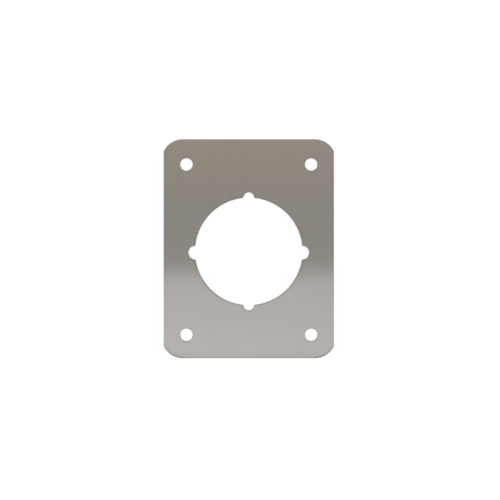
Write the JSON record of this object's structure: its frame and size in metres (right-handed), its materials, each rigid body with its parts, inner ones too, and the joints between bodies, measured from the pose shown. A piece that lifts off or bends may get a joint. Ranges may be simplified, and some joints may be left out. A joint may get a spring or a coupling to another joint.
{
  "type": "remodeler plate",
  "caption": "Flat brushed stainless cover plate with a large round lock bore, half-round bolt notches on the bore's edge and plain screw holes near its corners.",
  "frame": {"origin": "centre of the lock bore, at the plate's back face", "axes": "+Z out of the brushed front face along the bore's axis, +Y up the plate as it is fixed to a door, +X across it to the right as seen from the front. The loose plate lies flat on its back."},
  "size_m": [0.0888, 0.1144, 0.0013],
  "materials": {
    "brushed_stainless": "satin, brushed along the plate's length"
  },
  "bodies": {
    "root": {"remodeler_plate": "brushed_stainless"}
  },
  "joints": []
}
